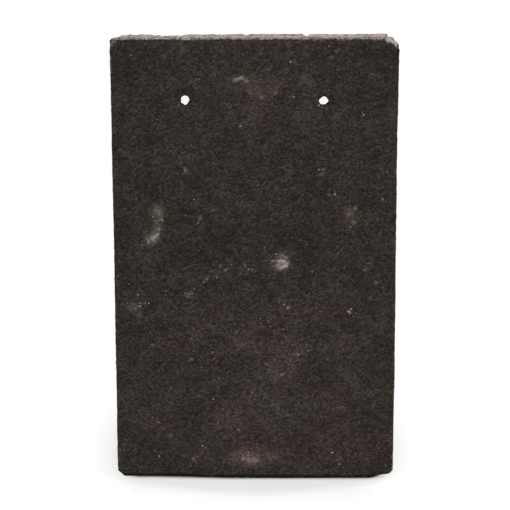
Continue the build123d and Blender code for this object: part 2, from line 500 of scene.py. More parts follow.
# How a nail hole opens out above and below its throat: the depth, how much wider it is all round, how
# far it keeps the throat's shape, and the coat and the roughness of its wall
HOLE_PROFILE = [
    (0.0, 1.75, 0.25, 1.0, 0.1),
    (0.12, 1.1, 0.35, 1.0, 0.1),
    (0.45, 0.62, 0.5, 0.95, 0.1),
    (1.1, 0.32, 0.7, 0.9, 0.2),
    (2.2, 0.1, 0.9, 0.8, 0.3),
    (3.4, 0.0, 1.0, 0.7, 0.3),
    (4.6, 0.38, 0.8, 0.5, 0.5),
    (6.2, 0.95, 0.5, 0.3, 0.8),
    (8.2, 1.6, 0.3, 0.1, 1.0),
    (10.4, 2.3, 0.2, 0.0, 1.0),
    (12.4, 2.95, 0.2, 0.0, 1.0),
    (13.7, 3.4, 0.3, 0.0, 1.0),
    (14.3, 4.1, 0.4, 0.0, 0.9),
]


def nail_hole(skin, upper_window, lower_window, window_plan, throat, seed):
    """A punched hole: rings that keep the bearings of the window's edge, joined from face to underside.

    A ring's radius is the throat's own radius at that bearing, evened out to their mean by the share in
    the profile, and the profile's widening, which a noise field makes ragged. Above the first ring, the
    face is carried out to the square window by shares of the way.
    """
    middle, radii = throat
    middle = np.array(middle) * MM
    spoke = window_plan - middle
    spoke /= np.linalg.norm(spoke, axis=1, keepdims=True)
    bearing = np.degrees(np.arctan2(spoke[:, 1], spoke[:, 0])) % 360
    known, lengths = np.array(sorted((degrees % 360, length) for degrees, length in radii)).T
    shape = np.interp(bearing, known, lengths, period=360)
    last = upper_window
    for depth, wider, kept, coat, rough in HOLE_PROFILE:
        # the noise is taken round a cylinder of the throat's size, and drawn out three times down it
        where = np.concatenate([spoke * 3, np.full((len(spoke), 1), depth / 3)], axis=-1)
        ragged = 1 + 0.16 * rough * noise(where, 1.3, seed) + 0.1 * rough * noise(where, 0.6, seed + 1)
        radius = MM * (shape * kept + shape.mean() * (1 - kept) + wider) * ragged
        plan = middle + spoke * radius[:, None]
        if depth == 0:
            for share in (0.25, 0.5, 0.75):
                between = window_plan + (plan - window_plan) * share
                numbers = skin.add(between, THICKNESS + crown(between[:, 1]), 1.0, 0.0)
                skin.band(numbers, last)
                last = numbers
        numbers = skin.add(plan, THICKNESS + crown(plan[:, 1]) - depth * MM, coat, rough)
        skin.band(numbers, last)
        last = numbers
    skin.band(lower_window, last)


def nib(skin, window, middle, cells_across, cells_along):
    """A nib: drafted walls from a rounded root to a rounded tip, closed by a flat cap.

    At a depth d the outline is the root's rectangle, drawn in by d times each wall's slope. The root
    flares out and the tip draws in by a quarter round.
    """
    level = crown(NIB_BEARING)
    quarter = np.radians((0, 30, 60, 90))
    rings = list(zip(NIB_ROOT_RADIUS * (1 - np.cos(quarter)), NIB_ROOT_RADIUS * (1 - np.sin(quarter))))
    rings += [(depth, 0.0) for depth in np.linspace(NIB_ROOT_RADIUS, NIB_DEPTH - NIB_TIP_RADIUS, 7)[1:]]
    tip = NIB_TIP_RADIUS * (1 - np.sin(quarter[1:])), -NIB_TIP_RADIUS * (1 - np.cos(quarter[1:]))
    rings += [(NIB_DEPTH - above, grown) for above, grown in zip(*tip)]
    last = window
    for depth, grown in rings:
        side = NIB_WIDTH / 2 - depth * NIB_SIDE_SLOPE + grown
        near = NIB_BEARING + depth * NIB_BEARING_SLOPE - grown
        far = NIB_BEARING + NIB_LENGTH - depth * NIB_BACK_SLOPE + grown
        size = max(NIB_TIP_RADIUS + grown, 0.3 * MM)
        box = (middle - side, middle + side, near, far)
        loop = cornered(cells_across, cells_along, *box, ((size, size),) * 4, (2,) * 4)
        if depth < NIB_DEPTH:
            height = level - depth if depth else crown(loop[:, 1])
            numbers = skin.add(loop, height, NIB_COAT, NIB_ROUGHNESS)
        else:
            cap = spanned(loop, cells_across, cells_along, 3 * MM)
            grid = skin.add(cap, level - depth, NIB_COAT, NIB_CAP_ROUGHNESS)
            skin.sheet(grid, facing_up=False)
            numbers = loop_of(grid)
        skin.band(last, numbers)
        last = numbers


def window_at(plan, low, high):
    """The grid window that holds a rectangle: near row, left column, and its cells along and across."""
    column = plan[len(plan) // 2, :, 0]
    row = plan[:, plan.shape[1] // 2, 1]
    left, right = np.searchsorted(column, low[0]) - 1, np.searchsorted(column, high[0])
    near, far = np.searchsorted(row, low[1]) - 1, np.searchsorted(row, high[1])
    return int(near), int(left), int(far - near), int(right - left)


def window_loop(grid, window):
    """The edge of a window of a grid."""
    near, left, cells_along, cells_across = window
    return loop_of(grid[near : near + cells_along + 1, left : left + cells_across + 1])


def tile_surface():
    """The whole tile as one closed surface, before its relief: the weather face and the underside are
    grids drawn out to the outline, the underside on cells twice as large, and the edge, the nail
    holes and the nibs join them."""
    skin = Skin()
    rise, inset = lower_edge_break()
    outline, normal = tile_outline(0)
    rim = outline - arris_radius(outline)[:, None] * normal
    face_plan = spanned(rim, CELLS_ACROSS, CELLS_ALONG, SPAN_REACH)
    face = skin.add(face_plan, THICKNESS + crown(face_plan[..., 1]), 1.0, 0.0)
    last, under_loop = tile_edge(skin, loop_of(face), rise, inset)
    under_plan = spanned(under_loop[::2], CELLS_ACROSS // 2, CELLS_ALONG // 2, SPAN_REACH)
    under = skin.add(under_plan, crown(under_plan[..., 1]), 0.0, UNDER_ROUGHNESS)
    skin.band(last, loop_of(under))

    face_windows, under_windows = [], []
    for number, mount in enumerate(nail_holes):
        centre = to_tile(mount["pos_m"])[:2]
        window = window_at(under_plan, centre - HOLE_REACH, centre + HOLE_REACH)
        double = tuple(2 * value for value in window)
        under_windows.append(window)
        face_windows.append(double)
        loop, loop_plan = window_loop(face, double), window_loop(face_plan, double)
        nail_hole(skin, loop, window_loop(under, window), loop_plan, THROATS[number], 41 + 7 * number)
    for mount in nib_faces:
        middle = to_tile(mount["pos_m"])[0]
        low = np.array([middle - NIB_WIDTH / 2 - NIB_MARGIN, NIB_BEARING - NIB_MARGIN])
        high = np.array([middle + NIB_WIDTH / 2 + NIB_MARGIN, NIB_BEARING + NIB_LENGTH + 0.6 * MM])
        window = window_at(under_plan, low, high)
        under_windows.append(window)
        nib(skin, window_loop(under, window), middle, 2 * window[3], 2 * window[2])
    skin.sheet(face, face_windows)
    skin.sheet(under, under_windows, facing_up=False)
    return skin.finished()


def relief(places, coat, rough):
    """How far the surface lies inside the smooth one: sand on the coat, fracture where it was cut or
    broken, the pitted texture of the mould under both, and a shallow dimple round each nail hole. Each
    is a mean depth in millimetres and the depths of its fields."""
    sand = 0.13 + 0.05 * cloud(places, 9 * MM, 51, 2) + 0.05 * noise(places, 3.1 * MM, 53)
    sand = sand + 0.09 * noise(places, 1.6 * MM, 57)
    fracture = 0.22 + 0.18 * cloud(places, 7 * MM, 61) + 0.14 * noise(places, 1.9 * MM, 67)
    mould = 0.05 + 0.035 * noise(places, 5 * MM, 71) + 0.03 * np.abs(noise(places, 2.4 * MM, 73))
    dimple = 0
    for middle, _ in THROATS:
        distance = np.hypot(places[:, 0] - middle[0] * MM, places[:, 1] - middle[1] * MM)
        dimple = dimple + 0.3 * fade(distance, 4 * MM, 9 * MM)
    return MM * (coat * sand + rough * fracture * (1 - 0.5 * coat) + mould + dimple * coat)


def in_scene(name, data):
    """A new object in the scene, at the origin."""
    made = bpy.data.objects.new(name, data)
    bpy.context.scene.collection.objects.link(made)
    return made


def mesh_object(name, places, faces, marks):
    """A mesh piece at the origin, smooth, with one float attribute for each mark."""
    mesh = bpy.data.meshes.new(name)
    mesh.vertices.add(len(places))
    mesh.vertices.foreach_set("co", places.astype(np.float32).ravel())
    mesh.loops.add(faces.size)
    mesh.loops.foreach_set("vertex_index", faces.astype(np.int32).ravel())
    mesh.polygons.add(len(faces))
    mesh.polygons.foreach_set("loop_start", np.arange(0, faces.size, 3, dtype=np.int32))
    mesh.polygons.foreach_set("use_smooth", np.ones(len(faces), bool))
    mesh.update(calc_edges=True)
    mesh.validate()
    for mark, values in marks.items():
        attribute = mesh.attributes.new(mark, "FLOAT", "POINT")
        attribute.data.foreach_set("value", values.astype(np.float32))
    return in_scene(name, mesh)


# Marks on the weather face, as the photograph shows them: the column and row of the middle, the half
# sizes in pixels, the strength and, where the mark isn't level, how many degrees it is turned up

# Scuffs and smears, where the pale concrete or mortar shows
SMEARS = [
    (281.8, 262.8, 7.2, 7.6, 0.7), (281.6, 261, 7.2, 2.4, 1.15), (285.4, 265.8, 3.8, 2.3, 1.15, 8),
    (279.8, 267.7, 4.4, 2.1, 1, -8), (278.2, 264.8, 2.2, 1.5, 0.95), (282, 266.2, 3, 1.5, 0.85),
    (284.8, 258.2, 4, 2, 0.66), (282.2, 255.6, 2, 1.2, 0.6), (273, 261.2, 2.2, 1.3, 0.7),
    (236, 79.4, 3.6, 2.2, 0.6, 15), (241, 77.6, 4, 2.1, 0.66, 20), (246.5, 80.8, 3, 1.7, 0.45, -35),
    (262, 97, 3.5, 2.5, 0.3), (275, 93, 4.5, 2.5, 0.26), (246, 108, 3, 2, 0.22), (332, 57.5, 3, 1.6, 0.22),
    (336.5, 51.3, 2.2, 1.6, 0.22), (185.5, 170, 1.9, 3.8, 0.45), (323, 169.5, 1.8, 2.2, 0.45),
    (322.5, 174, 4, 2, 0.26), (329, 195, 1.9, 1.8, 0.4, -50), (149.4, 240.4, 4.6, 0.9, 0.7, 52),
    (152, 238, 5.4, 0.9, 0.74, 52), (155.2, 236.6, 5.4, 0.9, 0.78, 52), (158.2, 234.4, 4.6, 0.9, 0.7, 52),
    (159, 229, 3.4, 1.2, 0.45, 65), (147.4, 237.6, 3.2, 1, 0.5, 52), (161, 219.8, 2.4, 1.6, 0.6),
    (199.5, 220, 7, 1.2, 0.3, 62), (349.5, 210, 2, 2, 0.35), (349, 213.8, 1.9, 1.8, 0.45),
    (355, 208.5, 2.2, 2.2, 0.36), (354, 222.5, 2.8, 2.2, 0.4), (207.5, 278, 6.2, 1.7, 0.5, 48),
    (211, 271.5, 2.6, 1.5, 0.3), (221, 266.5, 2.8, 1.8, 0.24), (226, 270, 2.5, 1.7, 0.32, 40),
    (245.5, 265.5, 1.8, 1.8, 0.45), (251.5, 270, 2, 1.6, 0.32), (136.5, 308, 4, 1.2, 0.42, 30),
    (131.5, 310, 2.2, 1.2, 0.3), (190, 295, 5.5, 6, 0.18), (189.5, 294.5, 2.4, 1.4, 0.5),
    (288, 308, 2.5, 1.8, 0.58), (366, 269, 4.5, 4, 0.17), (369, 263.8, 2.5, 1.5, 0.4),
    (376, 282.5, 1.9, 2.4, 0.36), (344.5, 269, 1.6, 3, 0.22), (349.5, 311.8, 2.8, 1.6, 0.78, -30),
    (236.3, 332.3, 2.2, 2.2, 0.32), (244.7, 343.2, 2, 1.6, 0.32), (298, 354.7, 2.9, 1.7, 0.42, 60),
    (294, 344.8, 3.2, 1.4, 0.25), (267, 364.8, 3.2, 1.5, 0.32, -40), (270, 370, 4.5, 3.2, 0.17),
    (281, 375.7, 3.5, 1.6, 0.5, 50), (274, 382, 3.2, 1.5, 0.18, 50), (306, 345, 1.6, 4, 0.25),
    (324.5, 404.5, 2.7, 2, 0.27), (342, 408, 5.2, 2.7, 0.22, 15), (193.5, 329.5, 1.6, 2, 0.4),
    (153, 345.5, 2.5, 1.5, 0.45), (191, 359.3, 2.8, 1.4, 0.3), (199, 396, 2.4, 1.4, 0.3, 15),
    (157.8, 422.2, 2.3, 1.6, 0.45, -35), (243, 459.5, 3.5, 1.8, 0.5, 20), (254, 460.5, 7.5, 3.2, 0.42),
    (238.5, 430, 2.7, 2.7, 0.36), (217.7, 421.5, 1.7, 2.7, 0.27), (338, 458, 4.5, 3.2, 0.18),
    (326, 470, 2.4, 1.6, 0.32), (179.5, 105, 1.8, 2.2, 0.2), (170, 435, 1.7, 3.2, 0.22),
]
# Soft brownish haze, and soft pale haze about the scuffs
BROWN_HAZES = [
    (246, 79.5, 11, 4, 0.34), (250, 89, 9, 4.6, 0.36, -50), (262, 92, 9, 8, 0.2), (276, 87, 4, 8, 0.28),
    (259, 113, 7, 5, 0.2, -45), (349.5, 214, 6, 8.5, 0.42), (250, 457.3, 11, 7.8, 0.95),
    (236, 456, 9, 6.5, 0.4), (272, 457, 9, 5.5, 0.42), (196, 457, 6, 5, 0.16), (158.5, 212, 6, 6, 0.3),
    (340, 408, 6, 4, 0.12),
]
PALE_HAZES = [
    (158.6, 212, 5.4, 6, 0.36), (158.5, 224, 4, 8, 0.24, -10), (152.6, 237.5, 8, 5, 0.6, 48),
    (281.5, 262, 7, 7.4, 0.62), (307, 80, 4, 4, 0.1), (243, 341, 9, 9, 0.1), (297, 353, 5, 9, 0.12, -30),
    (280, 374, 5, 5, 0.14), (136, 306, 8, 5, 0.16, 15),
]
# Darker places: pits, the gap in the largest smear, and the drawn-in face beside the nail holes. In the pits
# and beside the nail holes the darkening is painted shade of the recesses.
DARK_MARKS = [
    (178.3, 99, 2.6, 3.6, 0.5), (191.3, 100, 1.6, 4.4, 0.45), (332.5, 100.5, 4, 4, 0.5),
    (281.6, 263.9, 2.8, 1.1, 0.8, 25), (350.3, 244.2, 1.9, 1.9, 0.6), (305, 276.2, 1.9, 1.9, 0.6),
    (306.7, 292, 1.9, 1.9, 0.6), (259, 242.3, 2.4, 1.6, 0.6), (148, 188.5, 1.6, 2.8, 0.6),
    (156.5, 164.3, 1.9, 1.9, 0.6), (341, 252.8, 1.9, 1.9, 0.6), (357.5, 295.2, 1.9, 1.9, 0.6),
    (144.3, 406, 1.9, 1.9, 0.6), (291, 424, 1.9, 1.9, 0.6), (332, 193, 1.8, 1.8, 0.5),
    (197, 473, 3, 1.6, 0.6), (394, 40.5, 2.5, 1.5, 0.6), (387, 36, 1.6, 1.6, 0.7),
]
# Worn through to brown, about the head's two corners and along its edge
BROWN_MARKS = [
    (114.5, 43.5, 6.5, 4.8, 0.46), (121, 42.5, 5, 3.4, 0.4), (111.5, 49, 2.6, 5, 0.34),
    (377, 40, 8.5, 1.4, 0.45), (345, 40.2, 12, 1.3, 0.3), (310, 40, 18, 1.3, 0.35), (395, 50.5, 4, 2, 0.4),
    (188, 40, 20, 1.2, 0.25), (249, 40, 20, 1.2, 0.2),
]
# Broad places where the coat is lighter or darker as a whole
BROAD_CLOUDS = [
    (256, 56, 62, 40, 0.2), (384, 60, 36, 40, -0.18), (128, 72, 16, 32, -0.14), (255, 110, 60, 40, 0.07),
    (262, 300, 70, 36, 0.1), (260, 390, 190, 85, 0.17), (275, 350, 60, 34, 0.12), (262, 412, 36, 32, 0.28),
    (330, 350, 30, 30, 0.14), (256, 44, 230, 30, -0.08), (332, 430, 30, 36, 0.12), (220, 425, 30, 30, 0.08),
    (370, 430, 26, 36, 0.1), (140, 330, 40, 60, 0.07), (160, 428, 14, 12, 0.08), (122, 190, 5, 80, -0.12),
    (215, 440, 30, 30, 0.06), (256, 62, 190, 22, -0.05), (200, 228, 80, 20, -0.07), (246, 340, 16, 16, 0.1),
    (340, 455, 24, 10, 0.08), (290, 455, 90, 14, 0.05),
]
# Broad places where the coat has a green tint, and where it has a purple one
GREEN_CLOUDS = [
    (131, 70, 13, 24, 0.7), (149, 137, 25, 16, 0.6), (134, 180, 11, 22, 0.6), (150, 255, 36, 40, 0.8),
    (173, 293, 13, 10, 0.8), (233, 230, 13, 12, 0.6), (328, 230, 11, 13, 0.7), (376, 232, 12, 20, 1),
    (378, 72, 8, 11, 0.8), (264, 62, 12, 10, 0.7), (196, 224, 8, 10, 0.5), (383, 270, 8, 20, 0.5),
]
PURPLE_CLOUDS = [
    (279, 297, 7, 9, 0.8), (306, 313, 46, 12, 0.7), (216, 312, 9, 10, 0.7), (189, 337, 32, 11, 0.9, 10),
    (246, 340, 18, 18, 0.5), (286, 363, 20, 34, 0.9), (218, 358, 9, 13, 0.7), (239, 417, 32, 32, 0.9),
    (339, 393, 22, 8, 0.8), (329, 430, 23, 33, 0.95), (159, 428, 14, 12, 0.9, -30), (194, 453, 17, 10, 0.9),
    (368, 448, 16, 16, 0.8), (339, 340, 14, 11, 0.7), (293, 453, 20, 12, 0.7), (256, 100, 12, 17, 0.8),
    (266, 85, 10, 6, 0.7), (176, 167, 9, 7, 0.3), (258, 456, 40, 13, 0.8), (250, 459, 12, 5, 0.7),
]
# Single pale grains of sand: column, row and how light
PALE_GRAINS = [
    (290.5, 62, 0.6), (293.7, 97.2, 0.6), (240.3, 126.3, 0.6), (261, 53.5, 0.36), (243, 55, 0.3),
    (214.5, 73.5, 0.32), (131, 55.3, 0.36), (199.5, 79.2, 0.4), (196.5, 79, 0.35), (157, 119.5, 0.3),
    (136, 111.3, 0.3), (134.7, 137, 0.32), (171, 151, 0.32), (181.5, 152.5, 0.32), (181.2, 162.5, 0.4),
    (177.5, 173.5, 0.36), (193.8, 199.8, 0.45), (135.8, 199.3, 0.32), (337.7, 69.7, 0.36),
    (363.8, 115, 0.6), (362.3, 112.3, 0.32), (328.7, 46.5, 0.4), (257.5, 138, 0.36), (257.8, 185.7, 0.32),
    (212.7, 210.3, 0.36), (318.8, 169.6, 0.6), (334.8, 194.4, 0.7), (338.3, 197.8, 0.3),
    (382.7, 199.4, 0.6), (387, 172, 0.4), (357.5, 163.3, 0.28), (381.3, 149.8, 0.28), (162.5, 220.5, 0.6),
    (160, 216, 0.36), (153, 217.5, 0.5), (155, 221, 0.36), (155, 229, 0.36), (159, 229.8, 0.5),
    (148.3, 243.3, 0.55), (146, 231.5, 0.36), (142, 245, 0.34), (137.5, 238.5, 0.3), (198, 223.5, 0.42),
    (185.3, 215.6, 0.36), (189.8, 216.3, 0.32), (350.5, 227.3, 0.5), (350, 206.3, 0.4), (276, 254.3, 0.6),
    (203.6, 282.5, 0.45), (216.5, 277.8, 0.5), (231.2, 265, 0.32), (241.3, 274, 0.36), (248.3, 269.5, 0.55),
    (265.8, 260.8, 0.32), (300.3, 240.3, 0.42), (264.8, 247.5, 0.32), (117.7, 276.3, 0.4),
    (129, 284.2, 0.4), (138, 295, 0.62), (166.5, 291, 0.4), (148.8, 303.3, 0.6), (145.2, 303.5, 0.4),
    (140, 303.2, 0.5), (139.8, 306.5, 0.6), (134.5, 304.5, 0.36), (127, 303.5, 0.36), (185.5, 293.3, 0.45),
    (192.3, 293.8, 0.45), (194, 289.3, 0.4), (187.5, 296.5, 0.36), (284, 304.5, 0.56), (279, 302.5, 0.32),
    (294.2, 314, 0.45), (298.5, 305.5, 0.32), (213.2, 310.7, 0.32), (260.3, 319, 0.4), (260.3, 323.5, 0.32),
    (268.5, 321.3, 0.4), (242.7, 326, 0.4), (270.5, 327, 0.32), (312.3, 272.2, 0.45), (337.8, 253.5, 0.36),
    (351.3, 309.3, 0.75), (356, 313, 0.28), (353, 316.5, 0.32), (320, 311.3, 0.4), (237.5, 349.5, 0.36),
    (252, 343.3, 0.32), (257, 352.5, 0.32), (212.8, 352.3, 0.45), (210.8, 353.7, 0.36),
    (214.5, 358.5, 0.32), (282.8, 329.5, 0.36), (274, 331, 0.32), (290, 361, 0.36), (302.3, 351, 0.32),
    (218.7, 378.5, 0.36), (246.2, 380, 0.32), (251.8, 392.3, 0.5), (244.5, 392.2, 0.32),
    (213.5, 399.3, 0.6), (298.5, 402.7, 0.32), (308.7, 351, 0.5), (327.5, 359.5, 0.32),
    (312.3, 396.5, 0.36), (353.3, 395, 0.32), (191.7, 338.7, 0.36), (193.7, 351, 0.36), (170, 336, 0.32),
    (150.5, 332.3, 0.32), (201.5, 367.3, 0.4), (153, 417.7, 0.4), (157.3, 418, 0.32), (202.3, 446, 0.6),
    (204.8, 447.8, 0.36), (205.3, 437.5, 0.32), (193.2, 459, 0.55), (197, 457, 0.36), (195.2, 460.5, 0.4),
    (159.2, 456.5, 0.65), (191, 465.8, 0.32), (120.2, 449.8, 0.45), (248.8, 452.7, 0.6),
    (248.3, 455.5, 0.5), (270.5, 460.3, 0.45), (239, 456.5, 0.36), (274.3, 440.7, 0.4), (256.8, 444, 0.32),
    (208.5, 453.5, 0.36), (332.5, 452.7, 0.8), (339.3, 464.3, 0.6), (348.3, 455.5, 0.36),
    (355.2, 454, 0.32), (385.5, 465.5, 0.36), (319, 105.5, 0.55), (322, 107.5, 0.5),
]
GRAIN_SIZE = 0.46 * MM  # half size of a pale grain, and how much larger the lightest ones are
GRAIN_GROWTH = 0.2 * MM
GRAIN_SHAPE = (1.15, 0.88, 0.5)  # long, wide and high
GRAIN_SINK = 0.22 * MM  # from the weather face down to a grain's middle


def marks_on(places, marks, kind="strongest"):
    """Strength of the marks at each place: for each an ellipse's hump, 1.25 (1 - d^2) held from 0 to 1,
    whose distance d a fine noise makes ragged, and the strongest hump where some overlap. Broad clouds
    are bell curves exp(-d^2) instead, at places that a larger noise shifts, and are added up."""
    ragged = 0.3 * noise(places, 2.0 * MM, 83) + 0.22 * noise(places, 4.5 * MM, 89)
    if kind == "broad":
        wander = 2.4 * MM * np.stack([cloud(places, 9 * MM, seed) for seed in (103, 107)], axis=-1)
        places = places[..., :2] + wander
    total = np.zeros(places.shape[:-1])
    for column, row, half_long, half_wide, strength, *turned in marks:
        across, along = on_face(column, row)
        x, y = (places[..., 0] - across) / PIXEL, (places[..., 1] - along) / PIXEL
        turn = math.radians(sum(turned))
        cosine, sine = math.cos(turn), math.sin(turn)
        distance = np.hypot((x * cosine + y * sine) / half_long, (y * cosine - x * sine) / half_wide)
        if kind == "broad":
            total += strength * np.exp(-(distance**2))
        else:
            hump = np.clip(1.25 * (1 - (distance + ragged).clip(0) ** 2), 0, 1)
            total = np.maximum(total, strength * hump)
    return total


def tile_skin():
    """The tile as it shows: its surface sunk by the relief along its normals, inside the model's box.

    Its marks are shares of each finish. Besides those that the photograph shows one by one, the coat is
    thinned and then cooler along the head, darkened by painted shade at the tail and lighter along the sides.
    """
    smooth, coat, rough, faces = tile_surface()
    sunk = smooth - normals_of(smooth, faces) * relief(smooth, coat, rough)[:, None]
    from_top = THICKNESS - (smooth[:, 2] - crown(smooth[:, 1]))
    on_top = fade(from_top, 1 * MM, 2 * MM)
    from_head = HALF_LENGTH - smooth[:, 1] + 0.5 * MM * cloud(smooth, 6 * MM, 97)
    cool = smooth_step(from_head, 0.9 * MM, 1.6 * MM) * fade(from_head, 2.8 * MM, 4.0 * MM)
    thinned = 0.36 * fade(from_head, 0.2 * MM, 2.4 * MM) + marks_on(smooth, BROWN_MARKS)
    # Painted shade along the tail: the last few millimetres of the face and the top of the tail's wall are
    # darkened, except at the right end
    from_tail = HALF_LENGTH + smooth[:, 1] + 0.35 * MM * cloud(smooth, 7 * MM, 101)
    from_tail = from_tail - read_off(TAIL_WEAR, smooth[:, 0])
    painted_tail_shade = fade(from_tail, 2.3 * MM, 3.4 * MM) * fade(from_top, 3 * MM, 8 * MM)
    painted_tail_shade = painted_tail_shade * fade(smooth[:, 0], 66 * MM, 74 * MM)
    from_side = HALF_WIDTH - np.abs(smooth[:, 0]) + 0.25 * MM * cloud(smooth, 4 * MM, 109)
    rim = fade(from_side, 0.9 * MM, 2.0 * MM)
    marks = {
        "coat": coat - thinned * on_top,
        "rough": rough,
        "pale": np.maximum(marks_on(smooth, SMEARS), marks_on(smooth, PALE_HAZES, "broad")) * on_top,
        "haze": marks_on(smooth, BROWN_HAZES, "broad") * on_top,
        "dark": np.maximum(marks_on(smooth, DARK_MARKS) * on_top, painted_tail_shade),
        "broad": (marks_on(smooth, BROAD_CLOUDS, "broad") + 0.4 * rim) * on_top,
        "green": marks_on(smooth, GREEN_CLOUDS, "broad") * on_top,
        "purple": marks_on(smooth, PURPLE_CLOUDS, "broad") * on_top,
        "cool": cool * on_top,
    }
    places = np.clip(from_tile(sunk), np.array(cad_low), np.array(cad_high))
    return mesh_object("roof_tile_skin", places, faces, marks)


def pale_grains():
    """The pale grains of sand in the weather face, as one mesh.

    Each is an icosahedron, whose twelve corners are (0, 1, g) and its turns with g the golden ratio,
    squashed to an uneven pebble, turned at random and sunk by half into the face.
    """
    rng = np.random.default_rng(5)
    golden = (1 + math.sqrt(5)) / 2
    corners = np.array([np.roll((0, a, b * golden), k) for k in range(3) for a in (-1, 1) for b in (-1, 1)])
    near = np.abs(np.linalg.norm(corners[:, None] - corners, axis=-1) - 2) < 1e-6
    triples = ((i, j, k) for i in range(12) for j in range(i) for k in range(j))
    sides = np.array([(i, j, k) for i, j, k in triples if near[i, j] and near[j, k] and near[i, k]])
    a, b, c = (corners[sides[:, k]] for k in range(3))
    inwards = (np.cross(b - a, c - a) * (a + b + c)).sum(axis=1) < 0
    sides[inwards] = sides[inwards][:, ::-1]
    corners = corners / np.linalg.norm(corners[0])
    column, row, light = np.array(PALE_GRAINS).T
    across, along = on_face(column, row)
    count = len(light)
    bearing = rng.uniform(0, 2 * math.pi, count)
    cosine, sine = np.cos(bearing)[:, None], np.sin(bearing)[:, None]
    size = GRAIN_SIZE + GRAIN_GROWTH * (light - 0.3) / 0.5
    stretch = rng.uniform(0.8, 1.25, (count, 12))
    shape = corners * stretch[..., None] * size[:, None, None] * np.array(GRAIN_SHAPE)
    x, y, z = np.moveaxis(shape, -1, 0)
    x, y = x * cosine - y * sine + across[:, None], x * sine + y * cosine + along[:, None]
    height = THICKNESS + crown(along)[:, None] - GRAIN_SINK + z
    places = from_tile(np.stack([x, y, height], axis=-1).reshape(-1, 3))
    places = np.clip(places, np.array(cad_low), np.array(cad_high))
    faces = (sides[None] + 12 * np.arange(count)[:, None, None]).reshape(-1, 3)
    return mesh_object("pale_sand_grains", places, faces, {"light": np.repeat(light, 12)})


# Finishes


class Finish:
    """A node material that is put together step by step. Each value is a number, a colour or an output."""

    def __init__(self, name):
        self.material = bpy.data.materials.new(name)
        self.material.use_nodes = True
        self.tree = self.material.node_tree
        self.shader = self.tree.nodes["Principled BSDF"]
        self.places = self.node("ShaderNodeTexCoord").outputs["Object"]

    def put(self, socket, value):
        """Links an output to a socket, or sets the socket's own value."""
        if isinstance(value, bpy.types.NodeSocket):
            self.tree.links.new(value, socket)
        else:
            socket.default_value = value

    def node(self, kind, values=None, **settings):
        """Adds a node with its settings and with values for its inputs by name or number."""
        made = self.tree.nodes.new(kind)
        for name, setting in settings.items():
            setattr(made, name, setting)
        for key, value in (values or {}).items():
            self.put(made.inputs[key], value)
        return made

    def math(self, operation, *values):
        """What a Math node makes of some values."""
        return self.node("ShaderNodeMath", dict(enumerate(values)), operation=operation).outputs[0]

    def times(self, first, *others):
        """The product of some values."""
        for other in others:
            first = self.math("MULTIPLY", first, other)
        return first

    def plus(self, first, *others):
        """The sum of some values."""
        for other in others:
            first = self.math("ADD", first, other)
        return first

    def mark(self, name):
        """A mark of the mesh: the share of that finish at each place."""
        return self.node("ShaderNodeAttribute", attribute_name=name).outputs["Fac"]

    def spread(self, value, low, high, to_low=0.0, to_high=1.0, way="LINEAR"):
        """Maps the values from low to high on to those from to_low to to_high, and holds them beyond."""
        values = {"Value": value, "From Min": low, "From Max": high, "To Min": to_low, "To Max": to_high}
        return self.node("ShaderNodeMapRange", values, interpolation_type=way).outputs["Result"]

    def noise(self, size, detail=2.0, roughness=0.6):
        """Cloudy noise of about the given size in metres, from 0 to 1."""
        values = {"Vector": self.places, "Scale": 1 / size, "Detail": detail, "Roughness": roughness}
        return self.node("ShaderNodeTexNoise", values).outputs["Fac"]

    def grains(self, size):
        """Cells of about the given size in metres: each one's random level and the distance to its middle."""
        cells = self.node("ShaderNodeTexVoronoi", {"Vector": self.places, "Scale": 1 / size}).outputs
        level = self.node("ShaderNodeSeparateColor", {0: cells["Color"]}).outputs[0]
        return level, cells["Distance"]

    def blend(self, share, first, second):
        """Mixes two colours by a share."""
        made = self.node("ShaderNodeMix", data_type="RGBA")
        for number, value in ((0, share), (6, first), (7, second)):
            self.put(made.inputs[number], value)
        return made.outputs[2]

    def shaded(self, colour, level):
        """A colour times a number."""
        made = self.node("ShaderNodeVectorMath", {0: colour, "Scale": level}, operation="SCALE")
        return made.outputs["Vector"]

    def relief(self, height, depth, under=None):
        """Bump of a height field whose full range stands for a depth in metres."""
        values = {"Height": height, "Distance": depth}
        if under is not None:
            values["Normal"] = under
        return self.node("ShaderNodeBump", values).outputs["Normal"]


BROWN_COAT = (0.0300, 0.0236, 0.0182, 1)
GREEN_COAT = (0.0254, 0.0242, 0.0174, 1)
PURPLE_COAT = (0.0366, 0.0246, 0.0214, 1)
COAT_SHADE = (0.0250, 0.0228, 0.0206)  # what each step of a grain's level adds
COOL_COAT = (0.0300, 0.0290, 0.0280, 1)
COAT_SAND = (0.058, 0.052, 0.046, 1)
PALE_CONCRETE = (0.47, 0.385, 0.325, 1)
GREY_CONCRETE = (0.27, 0.22, 0.185, 1)
BROWN_CONCRETE = (0.115, 0.078, 0.056, 1)
MOULDED_DARK = (0.150, 0.128, 0.110, 1)
MOULDED_LIGHT = (0.250, 0.216, 0.188, 1)
DARK_GRAIN = (0.035, 0.030, 0.027, 1)
SCUFFED = (0.39, 0.335, 0.285, 1)
BROWN_HAZE = (0.30, 0.215, 0.168, 1)
PALE_SAND = (0.34, 0.30, 0.265)
SAND_GRAIN = 1.2 * MM
FINE_GRAIN = 0.7 * MM
MOTTLES = ((2.2 * MM, 0.1), (4.8 * MM, 0.15), (11 * MM, 0.2), (24 * MM, 0.17))  # size, and swing of the level
DRY_SPECULAR = 0.2
# Specular level where the dark mark is full: it also dulls the painted shade at the tail, beside the nail
# holes and in the pits
DARK_SPECULAR = 0.08


